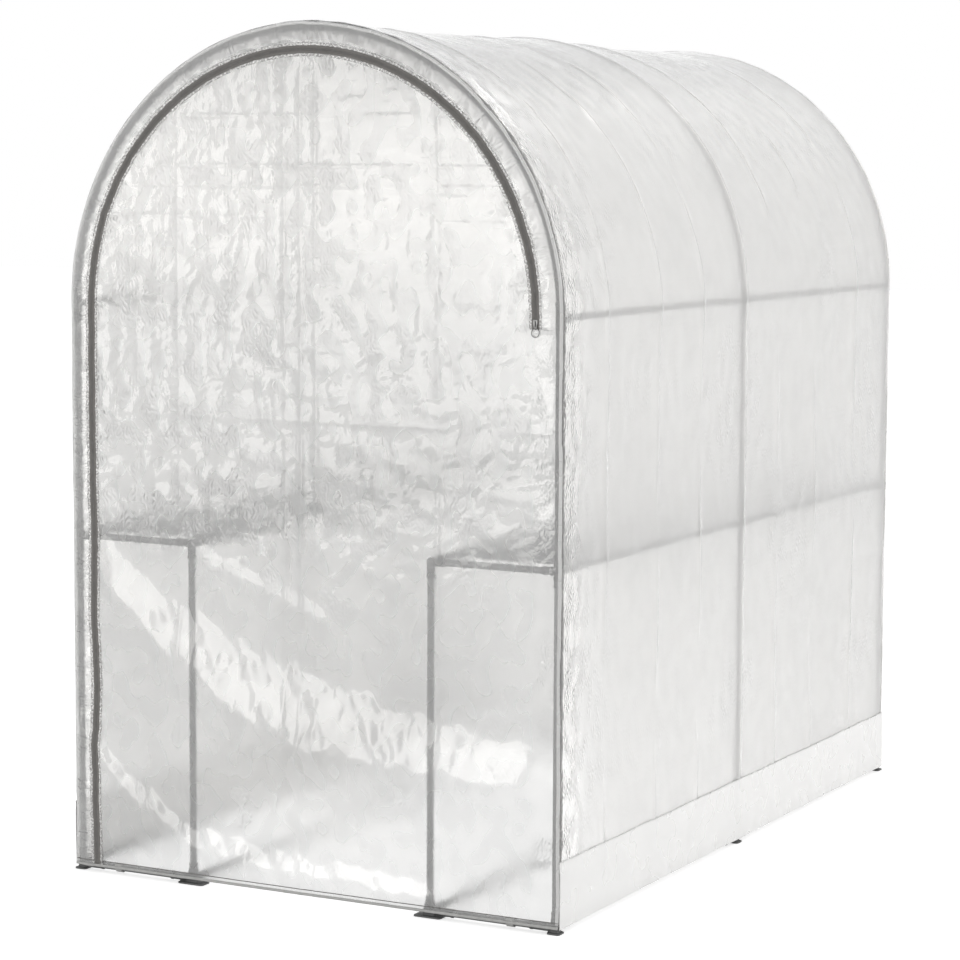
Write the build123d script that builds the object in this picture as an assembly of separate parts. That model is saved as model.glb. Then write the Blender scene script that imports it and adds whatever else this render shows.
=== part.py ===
"""Walk-in polytunnel greenhouse: a tube frame with wire shelves under a zipped film cover."""
import os
from math import cos, degrees, pi

from build123d import *

# Frame in millimetres, measured between tube axes and up from the ground
post_spacing = 1280
tunnel_length = 2034
shoulder_height = 1373
shelf_height = 816
shelf_depth = 319

# Steel tubes, drawn with a few flat sides
tube_diameter = 16
tube_sides = 8

# Moulded fittings with a bored socket for each tube
socket_wall = 2.2
socket_clearance = 0.3
socket_reach = 36
foot_socket_reach = 62
tube_stop = 11
foot_pad_height = 4
outer_pad_size = 34
inner_pad_length = 72
inner_pad_width = 40
pad_corner_cut = 9
foot_rib_reach = 22
foot_rib_thickness = 6

# Wire shelves that lie on the shelf rails
shelf_wire = 4
shelf_overhang = 5
shelf_end_clearance = 4
shelf_cross_wires = 17

# Film cover and its zip
film_thickness = 1
film_gap = 0.3
hem_height = 12
skirt_height = 165
zip_inset = 62
zip_width = 20
zip_end_drop = 25
slider_length = 24
slider_width = 13
slider_thickness = 5
slider_corner_cut = 3
pull_ring_diameter = 22
pull_ring_wire = 2.5
tie_width = 18
tie_thickness = 1.2
tie_inset = 48

# Reach of each cut past the face that it opens
overrun = 5

# Sizes that follow from the values above
tube_radius = tube_diameter / 2
bore_radius = tube_radius + socket_clearance
socket_radius = bore_radius + socket_wall
flat_share = cos(pi / tube_sides)
tube_flat = tube_radius * flat_share
socket_flat = socket_radius * flat_share
tube_end = tube_stop + socket_clearance
base_rail_height = foot_pad_height + socket_flat
half_width = post_spacing / 2
half_length = tunnel_length / 2
inner_post_x = half_width - shelf_depth
film_inset = socket_flat + film_gap
cover_inner = half_width + film_inset
cover_outer = cover_inner + film_thickness
end_film_inner = half_length + film_inset
zip_radius = cover_outer - zip_inset
zip_outer = zip_radius + zip_width / 2
zip_inner = zip_radius - zip_width / 2
zip_end_height = shoulder_height - zip_end_drop
front_face_y = -(end_film_inner + film_thickness)

# Places that repeat
hoop_places = {"front": -half_length, "middle": 0, "rear": half_length}
bays = {"front": (-half_length, 0), "rear": (0, half_length)}
sides = {"left": -1, "right": 1}
up = Vector(0, 0, 1)
back = Vector(0, 1, 0)


def section(radius):
    """Many-sided tube section with a flat on each axis."""
    return RegularPolygon(radius, tube_sides, rotation=degrees(pi / tube_sides))


def bar(start, end, radius):
    """Straight bar from one point to another."""
    run = end - start
    return extrude(Plane(origin=start, z_dir=run) * section(radius), amount=run.length)


def tube_between(start, end):
    """Tube between two hubs, stopping short of each one inside its socket."""
    run = (end - start).normalized()
    return bar(start + run * tube_end, end - run * tube_end, tube_radius)


def arch_bar(place, radius, start_length, length):
    """Bar bent along the arch, measured along its axis from the right shoulder."""
    axis = Axis((0, place, shoulder_height), (0, -1, 0))
    start = Pos(half_width, place, shoulder_height) * section(radius)
    turned = start.rotate(axis, degrees(start_length / half_width))
    return revolve(turned, axis, revolution_arc=degrees(length / half_width))


def sockets(hub, arms, reach):
    """Solid arms of a fitting that meet in a closed corner."""
    body = None
    for arm in arms:
        piece = bar(hub - arm * socket_flat, hub + arm * reach, socket_radius)
        body = piece if body is None else body + piece
    return body


def bores(hub, arms, reach):
    """Blind tube seats of a fitting, one along each arm."""
    return [bar(hub + arm * tube_stop, hub + arm * (reach + overrun), bore_radius) for arm in arms]


def rail_arms(place):
    """Directions in which side rails leave a hoop."""
    arms = []
    if place < half_length:
        arms.append(back)
    if place > -half_length:
        arms.append(-back)
    return arms


def hub_at(x, place, height):
    """Centre of a fitting on a hoop."""
    return Vector(x, place, height)


def inward(side):
    """Direction from an outer post to the aisle."""
    return Vector(-side, 0, 0)


def cut_rectangle(length, width, corner):
    """Rectangle with its corners cut off."""
    outline = Rectangle(length, width)
    return chamfer(outline.vertices(), corner)


def rib(hub, direction):
    """Upright web between a foot's pad and its post socket."""
    pad_top = foot_pad_height - hub.Z
    outline = Polygon((0, pad_top), (foot_rib_reach, pad_top), (socket_flat, socket_reach), (0, socket_reach),
                      align=None)
    plane = Plane(origin=hub, x_dir=direction, z_dir=direction.cross(up))
    return extrude(plane * outline, amount=foot_rib_thickness / 2, both=True)


def foot(hub, arms, pad, ribs):
    """Base fitting: a pad on the ground and sockets for the post and the base rails."""
    body = sockets(hub, [up], socket_reach) + sockets(hub, arms, foot_socket_reach)
    body = body + extrude(Pos(hub.X, hub.Y) * pad, amount=foot_pad_height)
    for direction in ribs:
        body = body + rib(hub, direction)
    return body - bores(hub, arms, foot_socket_reach) - bores(hub, [up], socket_reach)


def outer_shelf_fitting(hub, arms):
    """Sleeve on an outer post with sockets for the shelf rails."""
    body = sockets(hub, [up, -up] + arms, socket_reach)
    sleeve = bar(hub - up * (socket_reach + overrun), hub + up * (socket_reach + overrun), bore_radius)
    return body - [sleeve] - bores(hub, arms, socket_reach)


def inner_shelf_fitting(hub, arms):
    """Elbow on top of an inner post."""
    arms = [-up] + arms
    return sockets(hub, arms, socket_reach) - bores(hub, arms, socket_reach)


def shoulder_fitting(place, side):
    """Joint between a post, the arch above it and the shoulder rails."""
    hub = hub_at(half_width, place, shoulder_height)
    arms = [-up] + rail_arms(place)
    body = sockets(hub, arms, socket_reach) + arch_bar(place, socket_radius, 0, socket_reach)
    arch_seat = arch_bar(place, bore_radius, tube_stop, socket_reach - tube_stop + overrun)
    right = body - bores(hub, arms, socket_reach) - [arch_seat]
    return right if side > 0 else mirror(right, about=Plane.YZ)


def shelf_panel(side, bay):
    """Flat wire shelf: a border and cross wires, lying on two shelf rails."""
    start, end = bay
    width = shelf_depth + 2 * shelf_overhang
    length = end - start - 2 * (socket_reach + shelf_end_clearance)
    pitch = (length - shelf_wire) / (shelf_cross_wires - 1)
    gap = Rectangle(width - 2 * shelf_wire, pitch - shelf_wire)
    outline = Rectangle(width, length) - GridLocations(width, pitch, 1, shelf_cross_wires - 1) * gap
    x = side * (half_width - shelf_depth / 2)
    z = shelf_height + tube_flat + film_gap
    return extrude(Pos(x, (start + end) / 2, z) * outline, amount=shelf_wire)


def upright(y):
    """Drawing plane across the tunnel at a place along it, seen from the front."""
    return Plane(origin=(0, y, 0), x_dir=(1, 0, 0), z_dir=(0, -1, 0))


def block(low_x, high_x, low_z, high_z):
    """Rectangle given by its edges."""
    return Pos((low_x + high_x) / 2, (low_z + high_z) / 2) * Rectangle(high_x - low_x, high_z - low_z)


def arch_outline(half, bottom):
    """Door-shaped outline: straight sides under a half circle."""
    return block(-half, half, bottom, shoulder_height) + Pos(0, shoulder_height) * Circle(half)


def end_sheet(y, outline):
    """Flat sheet of film or tape across one end of the tunnel, growing towards the front."""
    return extrude(upright(y) * outline, amount=film_thickness)


def wall_film(side):
    """Flat side of the cover below the shoulder rail."""
    outline = block(cover_inner, cover_outer, hem_height, shoulder_height - film_gap)
    right = extrude(upright(0) * outline, amount=end_film_inner - film_gap, both=True)
    return right if side > 0 else mirror(right, about=Plane.YZ)


def skirt(side):
    """Second layer welded outside the foot of a wall."""
    inner = cover_outer + film_gap
    outline = block(inner, inner + film_thickness, hem_height, skirt_height)
    right = extrude(upright(0) * outline, amount=end_film_inner - film_gap, both=True)
    return right if side > 0 else mirror(right, about=Plane.YZ)


def roof_film():
    """Half-round part of the cover between the shoulder rails."""
    ring = Circle(cover_outer) - Circle(cover_inner)
    half_ring = ring & block(-cover_outer, cover_outer, 0, cover_outer)
    return extrude(upright(0) * Pos(0, shoulder_height) * half_ring, amount=end_film_inner - film_gap, both=True)


def below_zip_end(edge):
    """Right-hand strip under the end of the zip, where the door hangs from the front panel."""
    return block(0, edge, hem_height - overrun, zip_end_height)


def front_surround():
    """Fixed border of the front panel, outside the zip."""
    opening = arch_outline(zip_outer + film_gap, hem_height - overrun)
    outline = arch_outline(cover_outer, hem_height) - opening - below_zip_end(cover_outer + overrun)
    return end_sheet(-end_film_inner, outline)


def door_zip():
    """Zip tape up the left side, round the arch and down to its end on the right."""
    opening = arch_outline(zip_inner, hem_height - overrun)
    outline = arch_outline(zip_outer, hem_height) - opening - below_zip_end(zip_outer + overrun)
    return end_sheet(-end_film_inner, outline)


def door_film():
    """Door panel inside the zip, one piece with the strip that it hangs from."""
    hanging_strip = block(0, cover_outer, hem_height, zip_end_height - film_gap)
    return end_sheet(-end_film_inner, arch_outline(zip_inner - film_gap, hem_height) + hanging_strip)


def rear_film():
    """Plain closed panel at the back."""
    return end_sheet(end_film_inner + film_thickness, arch_outline(cover_outer, hem_height))


def zip_slider():
    """Slider at the right-hand end of the zip, with a flat pull ring under it."""
    middle_z = zip_end_height + slider_length / 2
    plane = upright(front_face_y - film_gap) * Pos(zip_radius, middle_z)
    outline = cut_rectangle(slider_width, slider_length, slider_corner_cut)
    body = extrude(plane * outline, amount=slider_thickness)
    ring_radius = pull_ring_diameter / 2
    ring = section(ring_radius) - section(ring_radius - pull_ring_wire)
    ring_drop = slider_length / 2 + ring_radius - pull_ring_wire
    return body + extrude(plane * Pos(0, -ring_drop) * ring, amount=pull_ring_wire)


def cover_tie(side, place):
    """Strap that holds the hem to a base cross rail."""
    x = side * (half_width - foot_socket_reach - tie_inset)
    start = Vector(x - tie_width / 2, place, base_rail_height)
    end = Vector(x + tie_width / 2, place, base_rail_height)
    reach = Vector(overrun, 0, 0)
    outside = bar(start, end, bore_radius + tie_thickness)
    return outside - bar(start - reach, end + reach, bore_radius)


def side_rails(x, height):
    """Tubes of both bays along one line."""
    return [tube_between(hub_at(x, start, height), hub_at(x, end, height)) for start, end in bays.values()]


def cross_rails(height):
    """Short tubes from outer to inner posts on every hoop."""
    rails = []
    for place in hoop_places.values():
        for side in sides.values():
            outer = hub_at(side * half_width, place, height)
            rails.append(tube_between(outer, outer + inward(side) * shelf_depth))
    return rails


def posts(x, top):
    """Upright tubes of one line of posts."""
    lines = []
    for place in hoop_places.values():
        lines.append(tube_between(hub_at(x, place, base_rail_height), hub_at(x, place, top)))
    return lines


parts = {}

for name, place in hoop_places.items():
    parts[f"{name}_hoop"] = [arch_bar(place, tube_radius, tube_end, pi * half_width - 2 * tube_end)]

for name, side in sides.items():
    outer_x = side * half_width
    inner_x = side * inner_post_x
    parts[f"{name}_outer_posts"] = posts(outer_x, shoulder_height)
    parts[f"{name}_inner_posts"] = posts(inner_x, shelf_height)
    parts[f"{name}_shoulder_rails"] = side_rails(outer_x, shoulder_height)
    parts[f"{name}_outer_shelf_rails"] = side_rails(outer_x, shelf_height)
    parts[f"{name}_inner_shelf_rails"] = side_rails(inner_x, shelf_height)
    parts[f"{name}_outer_base_rails"] = side_rails(outer_x, base_rail_height)
    parts[f"{name}_inner_base_rails"] = side_rails(inner_x, base_rail_height)
    parts[f"{name}_wall_film"] = [wall_film(side)]
    parts[f"{name}_skirt"] = [skirt(side)]
    for bay_name, bay in bays.items():
        parts[f"{name}_{bay_name}_shelf"] = [shelf_panel(side, bay)]

parts["shelf_cross_rails"] = cross_rails(shelf_height)
parts["base_cross_rails"] = cross_rails(base_rail_height)

outer_pad = cut_rectangle(outer_pad_size, outer_pad_size, pad_corner_cut)
inner_pad = cut_rectangle(inner_pad_length, inner_pad_width, pad_corner_cut)
for name in ("outer_feet", "inner_feet", "outer_shelf_fittings", "inner_shelf_fittings", "shoulder_fittings"):
    parts[name] = []
for place in hoop_places.values():
    rails = rail_arms(place)
    for side in sides.values():
        outer_arms = [inward(side)] + rails
        inner_arms = [-inward(side)] + rails
        outer_x = side * half_width
        inner_x = side * inner_post_x
        outer_hub = hub_at(outer_x, place, base_rail_height)
        inner_hub = hub_at(inner_x, place, base_rail_height)
        parts["outer_feet"].append(foot(outer_hub, outer_arms, outer_pad, []))
        parts["inner_feet"].append(foot(inner_hub, inner_arms, inner_pad, [inward(side)]))
        parts["outer_shelf_fittings"].append(
            outer_shelf_fitting(hub_at(outer_x, place, shelf_height), outer_arms))
        parts["inner_shelf_fittings"].append(
            inner_shelf_fitting(hub_at(inner_x, place, shelf_height), inner_arms))
        parts["shoulder_fittings"].append(shoulder_fitting(place, side))

parts["roof_film"] = [roof_film()]
parts["front_surround_film"] = [front_surround()]
parts["door_film"] = [door_film()]
parts["rear_film"] = [rear_film()]
parts["door_zip"] = [door_zip()]
parts["zip_slider"] = [zip_slider()]
parts["cover_ties"] = [cover_tie(side, place) for side in sides.values() for place in (-half_length, half_length)]

os.makedirs("parts", exist_ok=True)
for name, pieces in parts.items():
    solids = [solid for piece in pieces for solid in piece.solids()]
    shape = solids[0] if len(solids) == 1 else Compound(children=solids)
    shape.label = name
    export_step(shape, f"parts/{name}.step")
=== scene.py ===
"""Looks of the walk-in polytunnel greenhouse: film cover, zip, tube frame and wire shelves."""
import math

import bmesh
import bpy
import numpy as np
from mathutils import Matrix, Vector
from mathutils.geometry import delaunay_2d_cdt


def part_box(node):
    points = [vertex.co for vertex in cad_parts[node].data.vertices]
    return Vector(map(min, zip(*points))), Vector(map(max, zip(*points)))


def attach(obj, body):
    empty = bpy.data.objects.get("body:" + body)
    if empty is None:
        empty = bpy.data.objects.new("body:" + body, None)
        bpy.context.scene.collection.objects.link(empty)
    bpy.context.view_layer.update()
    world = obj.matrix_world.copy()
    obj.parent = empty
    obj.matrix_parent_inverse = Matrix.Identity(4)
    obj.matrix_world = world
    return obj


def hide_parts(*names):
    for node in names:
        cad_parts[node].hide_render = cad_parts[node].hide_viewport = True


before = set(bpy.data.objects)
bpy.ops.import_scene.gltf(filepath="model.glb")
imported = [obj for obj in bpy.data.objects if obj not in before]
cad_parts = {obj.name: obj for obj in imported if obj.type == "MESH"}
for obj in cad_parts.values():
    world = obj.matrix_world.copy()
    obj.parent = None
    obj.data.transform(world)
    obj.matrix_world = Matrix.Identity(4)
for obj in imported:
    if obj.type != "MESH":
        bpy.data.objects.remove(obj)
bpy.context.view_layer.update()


def middle(node):
    """Centre of a CAD node's box."""
    low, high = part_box(node)
    return (low + high) / 2


# Places of the frame, in metres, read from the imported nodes
POST_X = middle("right_outer_posts").x
INNER_X = middle("right_inner_posts").x
HOOP_Y = middle("rear_hoop").y
SHOULDER_Z = middle("right_shoulder_rails").z
SHELF_Z = middle("right_outer_shelf_rails").z
BASE_Z = middle("right_outer_base_rails").z
HEM_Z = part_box("door_film")[0].z
SKIRT_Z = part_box("right_skirt")[1].z
SKIRT_X = middle("right_skirt").x
ZIP_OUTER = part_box("door_zip")[1].x
ZIP_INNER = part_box("door_film")[1].z - SHOULDER_Z
FRONT_Y = middle("door_film").y
REAR_Y = middle("rear_film").y
COVER_X = middle("right_wall_film").x
END_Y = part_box("roof_film")[1].y
SHELF_TOP = middle("right_front_shelf").z

# Sizes and places of the looks
TUBE_RADIUS = 0.008
SOCKET_RADIUS = 0.0093
LIP_RADIUS = 0.0101
SOCKET_REACH = 0.036
FOOT_REACH = 0.062
ZIP_WIDTH = 0.020
ZIP_RADIUS = ZIP_OUTER - ZIP_WIDTH / 2
ZIP_END_Z = SHOULDER_Z - 0.025
FILM_THICKNESS = 0.0006
SEAM_RADIUS = 0.0042
SEAM_INSET = 0.0026
ARCH_LENGTH = math.pi / 2 * COVER_X
HOOPS = (-HOOP_Y, 0.0, HOOP_Y)
SIDES = (-1, 1)
NAMED_SIDES = (("left", -1), ("right", 1))
ROOF_FOLDS = (-0.80, -0.52, -0.27, 0.22, 0.47, 0.76)
DOOR_FOLDS = (-0.345, -0.055, -0.012, 0.028, 0.345)
FOLD_SIDE = 0.0036
DOOR_LEVELS = (1.814, 1.70, 1.655, 1.585, 1.12)
LIP_LENGTH = 0.006
COLLAR_START = 0.012
COLLAR_END = 0.016
FLARE_TOP = 0.030
WIDE_PAD = 0.05
PAD_CORNER = 0.008
VOXEL = 0.0010
PAD_THICKNESS = 0.004
PAD_CLEARANCE = 0.0004
WIRE_RADIUS = 0.002
FINE_WIRE_RADIUS = 0.0013
TAPE_THICKNESS = 0.0008
RUFFLE_THICKNESS = 0.0005
STRAP_THICKNESS = 0.0009
STRAP_HALF = 0.009
ZIP_STEP = 0.010
SLIDER_Z = ZIP_END_Z + 0.012
SKIRT_LIFT = 0.003

# Depths of the cover's sag, folds and creases
ROOF_SAG = 0.013
WALL_SAG = 0.006
COVER_TUCK = 0.0004
COVER_GATHER = 0.0052
COVER_WAVE = 0.0034
COVER_CREASE = 0.0075
COVER_CRUMPLE = 0.0016
ROOF_FOLD = 0.0026
HOOP_FOLD = 0.0028

# Depths of the folds and creases at the ends, and width, depth and raggedness of the swaths
ZIP_PUCKER = 0.0022
BORDER_GATHER = 0.0075
FRONT_WAVE = 0.0024
FRONT_CREASE = 0.0040
TOP_CREASE = 0.0036
FINE_CREASE = 0.0021
UPRIGHT_FOLD = 0.0029
LEVEL_FOLD = 0.0032
FOLD_REACH = 0.0045
REAR_WAVE = 0.0028
REAR_CREASE = 0.0050
REAR_FOLD = 0.0012
DEEPEST = -0.0008
SWATH_SLOPE = 0.31
SWATH_RAGGED = 0.78
LOW_SWATH = (0.023, 0.0100, 2.0)
SMALL_SWATH = (0.016, 0.0026)


def eased(part):
    """Smooth step from 0 to 1 as the part goes from 0 to 1."""
    return part * part * (3 - 2 * part)


def value_noise(a, b, seed):
    """Smooth noise between -1 and 1, with one random value at each whole number."""
    size = 256
    table = np.random.default_rng(seed).uniform(-1, 1, (size, size))
    cell_a = np.floor(a).astype(int)
    cell_b = np.floor(b).astype(int)
    ease_a = eased(a - cell_a)
    ease_b = eased(b - cell_b)

    def corner(i, j):
        return table[(cell_a + i) % size, (cell_b + j) % size]

    near = corner(0, 0) * (1 - ease_a) + corner(1, 0) * ease_a
    far = corner(0, 1) * (1 - ease_a) + corner(1, 1) * ease_a
    return near * (1 - ease_b) + far * ease_b


def crumple(a, b, seed):
    """Creased film: 1 on a sharp crease, falling to 0 in the dents between."""
    bend = 0.6 * value_noise(a * 0.7, b * 0.7, seed + 1)
    return 1 - np.abs(value_noise(a + bend, b - bend, seed))


def facets(a, b, seed):
    """Crumpled film: nearly flat facets that meet on sharp creases, between 0 and 1."""
    rng = np.random.default_rng(seed)
    total = np.zeros_like(a)
    for i in range(3):
        turn = math.pi * (i + rng.uniform(0, 0.8)) / 3
        warp = 0.9 * value_noise(a * 0.45, b * 0.45, seed + i)
        place = a * math.cos(turn) + b * math.sin(turn) + warp
        total += np.abs(place - np.round(place)) * 2
    return total / 3


def ridge(distance, width):
    """Height of a soft ridge at a distance from its line."""
    return np.exp(-(distance / width) ** 2)


def crest(distance, width):
    """Height of a sharp fold at a distance from its line."""
    return np.exp(-np.abs(distance) / width)


def step_up(value, low, high):
    """Smooth step from 0 at the low value to 1 at the high one."""
    return eased(np.clip((value - low) / (high - low), 0, 1))


def set_all(thing, **values):
    """Sets several properties of a thing and gives it back."""
    for label, value in values.items():
        setattr(thing, label, value)
    return thing


def linked(name, data):
    """New object at the origin with its mesh, lamp or lens."""
    piece = bpy.data.objects.new(name, data)
    bpy.context.collection.objects.link(piece)
    return piece


def mesh_piece(name, points, faces):
    """New smooth object from points in the frame and faces."""
    mesh = bpy.data.meshes.new(name)
    mesh.from_pydata([tuple(p) for p in points], [], [tuple(int(i) for i in f) for f in faces])
    mesh.polygons.foreach_set("use_smooth", [True] * len(mesh.polygons))
    return linked(name, mesh)


def joined(name, shapes):
    """One smooth object from several shapes, each given as its points and faces."""
    points, faces, count = [], [], 0
    for shape, skin in shapes:
        points.append(shape)
        faces += [tuple(i + count for i in face) for face in skin]
        count += len(shape)
    return mesh_piece(name, np.concatenate(points), faces)


def modelled(name, mesh):
    """New object from a mesh under construction."""
    data = bpy.data.meshes.new(name)
    mesh.to_mesh(data)
    mesh.free()
    return linked(name, data)


def lay_flat(piece, across, along):
    """Stores where each point of a sheet lies on the flat film."""
    mesh = piece.data
    layer = mesh.uv_layers.new(name="film")
    corners = np.empty(len(mesh.loops), int)
    mesh.loops.foreach_get("vertex_index", corners)
    layer.data.foreach_set("uv", np.stack([across[corners], along[corners]], axis=1).ravel())


def mark_film(piece, across, along, crinkle, haze_and_painted_light, blur=0.0):
    """Stores where each point of a sheet lies on the flat film, and how crinkled, hazy and blurred it is; the
    haze also carries painted light and shade.
    """
    lay_flat(piece, across, along)
    mesh = piece.data
    for label, values in (("crinkle", crinkle), ("haze_and_painted_light", haze_and_painted_light), ("blur", blur)):
        values = np.broadcast_to(np.asarray(values, float), (len(mesh.vertices),))
        mesh.attributes.new(label, "FLOAT", "POINT").data.foreach_set("value", np.ascontiguousarray(values))


def thicken(piece, thickness=FILM_THICKNESS):
    """Gives a single surface of film, tape or strap its thickness."""
    set_all(piece.modifiers.new("film thickness", "SOLIDIFY"), thickness=thickness, offset=0)
    return piece


def grid_faces(rows, columns):
    """Quads of a grid of points stored row by row."""
    start = np.arange(rows - 1)[:, None] * columns + np.arange(columns - 1)[None, :]
    start = start.ravel()
    return np.stack([start, start + 1, start + 1 + columns, start + columns], axis=1)


def with_lines(start, end, step, lines, beside=0.0):
    """Even places from start to end, with a place on each of some lines and maybe one close on each side."""
    places = np.linspace(start, end, round((end - start) / step) + 1)
    for line in lines:
        near = np.abs(places - line) < (beside + 0.3 * step if beside else 0.5 * step)
        near[0] = near[-1] = False
        extra = [line - beside, line, line + beside] if beside else [line]
        places = np.sort(np.concatenate([places[~near], extra]))
    return places


# Walls and roof

def cover_place(girth, out):
    """Place across the cover at a length from the crown along it, and a height out of it."""
    angle = np.clip(girth / COVER_X, -math.pi / 2, math.pi / 2)
    below = np.maximum(np.abs(girth) - ARCH_LENGTH, 0)
    radius = COVER_X + out
    return radius * np.sin(angle), SHOULDER_Z + radius * np.cos(angle) - below


def cover_out(girth, y):
    """Sag, tucks, folds and creases of the cover, as heights out of its smooth shape."""
    below = np.abs(girth) - ARCH_LENGTH
    height = SHOULDER_Z - np.maximum(below, 0)
    bay = np.clip(np.abs(y) / HOOP_Y, 0, 1)
    slack = 4 * bay * (1 - bay)
    on_roof = np.clip(np.abs(girth) / ARCH_LENGTH, 0, 1)
    upper = np.clip((SHOULDER_Z - height) / (SHOULDER_Z - SHELF_Z), 0, 1)
    lower = np.clip((SHELF_Z - height) / (SHELF_Z - BASE_Z), 0, 1)
    sag = ROOF_SAG * (1 - on_roof ** 4) + WALL_SAG * (np.sin(math.pi * upper) + np.sin(math.pi * lower))
    from_hoop = np.minimum(np.abs(y), np.abs(np.abs(y) - HOOP_Y))
    from_front = np.abs(y + END_Y)
    tuck = COVER_TUCK * crumple(girth / 0.30, y / 0.030, 11) * ridge(from_hoop - 0.03, 0.035)
    gather = COVER_GATHER * facets(girth / 0.075, y / 0.09, 14)
    gather *= ridge(from_front - 0.02, 0.06) * step_up(from_front, 0, 0.012)
    wave = COVER_WAVE * value_noise(girth / 0.38, y / 0.26, 12) * slack
    crease = COVER_CREASE * facets(girth / 0.30, y / 0.25, 13) * (0.15 + 0.85 * slack)
    patch = step_up(value_noise(girth / 0.34, y / 0.30, 17), -0.3, 0.5)
    crumpled = COVER_CRUMPLE * (1 + step_up(-below, -0.1, 0.15)) * patch
    crease += crumpled * facets(girth / 0.085, y / 0.075, 18) * (0.2 + 0.8 * slack)
    fold = HOOP_FOLD * crest(y, 0.006)
    for place in ROOF_FOLDS:
        broken = step_up(value_noise(girth / 0.22, place * 9, 15), -0.4, 0.2)
        fold += ROOF_FOLD * broken * crest(y - place, 0.005)
    free = step_up(height, HEM_Z + 0.01, HEM_Z + 0.13)
    return (tuck + gather + wave + crease) * free + fold - slack * sag


def cover_sheet():
    """Walls and roof of the cover in one sheet, from the left hem over the hoops to the right hem."""
    reach = ARCH_LENGTH + SHOULDER_Z - HEM_Z
    rails = (-ARCH_LENGTH, 0, ARCH_LENGTH)
    girth = with_lines(-reach, reach, 0.0172, rails)
    y = with_lines(-END_Y, END_Y, 0.0138, (0.0, *ROOF_FOLDS), 0.004)
    girth_grid, y_grid = np.meshgrid(girth, y)
    x, z = cover_place(girth_grid, cover_out(girth_grid, y_grid))
    points = np.stack([x.ravel(), y_grid.ravel(), z.ravel()], axis=1)
    piece = mesh_piece("cover_sheet", points, grid_faces(len(y), len(girth)))
    near_front = ridge(y_grid + END_Y, 0.16)
    patches = step_up(value_noise(girth_grid / 0.20, y_grid / 0.28, 16), 0.1, 0.8)
    crinkle = 0.06 + 0.50 * near_front + 0.30 * patches
    crown = 1 - np.abs(girth_grid) / ARCH_LENGTH
    # Painted shade in the film's colour: greyer toward the crown of the roof and along the big creases.
    haze_and_painted_light = 0.72 * step_up(crown, 0.25, 0.85)
    haze_and_painted_light += 0.123 * (facets(girth_grid / 0.30, y_grid / 0.25, 13) - 0.4)
    blur = 1 - 0.7 * near_front
    mark_film(piece, y_grid.ravel(), girth_grid.ravel(), crinkle.ravel(), haze_and_painted_light.ravel(), blur.ravel())
    return piece


# Flat ends

def inside(points, loop):
    """True for each point inside a closed outline."""
    hit = np.zeros(len(points), bool)
    x, z = points[:, 0], points[:, 1]
    for (x0, z0), (x1, z1) in zip(loop, np.roll(loop, -1, axis=0)):
        if z0 == z1:
            continue
        crosses = (z0 > z) != (z1 > z)
        hit ^= crosses & (x < (x1 - x0) * (z - z0) / (z1 - z0) + x0)
    return hit


def even_steps(corners, step):
    """Points spaced evenly along a chain of straight runs, without the last."""
    chain = []
    for start, end in zip(corners[:-1], corners[1:]):
        start, end = np.array(start), np.array(end)
        count = max(1, round(np.linalg.norm(end - start) / step))
        chain += [start + (end - start) * i / count for i in range(count)]
    return chain


def arc_steps(radius, start, end, step):
    """Points along an arc about the middle of the arch, without the last; angles from the right."""
    count = max(2, round(abs(end - start) * radius / step))
    angles = start + (end - start) * np.arange(count) / count
    return [np.array([radius * math.cos(a), SHOULDER_Z + radius * math.sin(a)]) for a in angles]


def outline(step, *runs):
    """Closed outline from lists of corners and from arcs, each given as radius, start and end."""
    loop = []
    for run in runs:
        loop += even_steps(run, step) if isinstance(run, list) else arc_steps(*run, step)
    return loop


def fill_points(loop, step, seed, folds, levels):
    """Points spread evenly inside an outline, with rows of them along its fold lines."""
    low, high = loop.min(axis=0), loop.max(axis=0)
    row_step = step * 0.87
    grid_x, grid_z = np.meshgrid(np.arange(low[0], high[0], step), np.arange(low[1], high[1], row_step))
    grid_x[1::2] += step / 2
    points = np.stack([grid_x.ravel(), grid_z.ravel()], axis=1)
    points += np.random.default_rng(seed).uniform(-0.15, 0.15, points.shape) * step
    for axis, lines in ((0, folds), (1, levels)):
        for line in lines:
            points = points[np.abs(points[:, axis] - line) > FOLD_SIDE + step * 0.35]
    rows = [points]
    for shift in (-FOLD_SIDE, 0, FOLD_SIDE):
        for fold in folds:
            z = np.arange(low[1], high[1], step)
            rows.append(np.stack([np.full_like(z, fold + shift), z + 0.2 * shift], axis=1))
        for level in levels:
            x = np.arange(low[0], high[0], step)
            rows.append(np.stack([x + 0.2 * shift, np.full_like(x, level + shift)], axis=1))
    points = np.concatenate(rows)
    points = points[inside(points, loop)]
    gaps = np.full(len(points), np.inf)
    for corner in loop:
        gaps = np.minimum(gaps, np.hypot(*(points - corner).T))
    return points[gaps > step * 0.6]


def end_piece(name, loop, step, seed, face, heights, folds=(), levels=()):
    """Sheet across an end of the tunnel, facing the front (-1) or the back (1)."""
    loop = np.array(loop)
    points = np.concatenate([loop, fill_points(loop, step, seed, folds, levels)])
    edges = [(i, (i + 1) % len(loop)) for i in range(len(loop))]
    filled = delaunay_2d_cdt([Vector(p) for p in points], edges, [], 1, 1e-6)
    flat = np.array([tuple(v) for v in filled[0]])
    x, z = flat[:, 0], flat[:, 1]
    plane_y = FRONT_Y if face < 0 else REAR_Y
    y = plane_y + face * heights(x, z)
    turned = [f if face < 0 else tuple(reversed(f)) for f in filled[2]]
    return mesh_piece(name, np.stack([x, y, z], axis=1), turned), x, z


def arch_radius(x, z):
    """Distance from the middle of the arch and, below the arch, from the middle plane."""
    return np.where(z > SHOULDER_Z, np.hypot(x, z - SHOULDER_Z), np.abs(x))


def held_at_edge(x, z, width):
    """0 at the edge of an end film, where it meets the cover, rising to 1 further in."""
    return step_up(COVER_X - arch_radius(x, z), 0.0, width)


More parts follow.
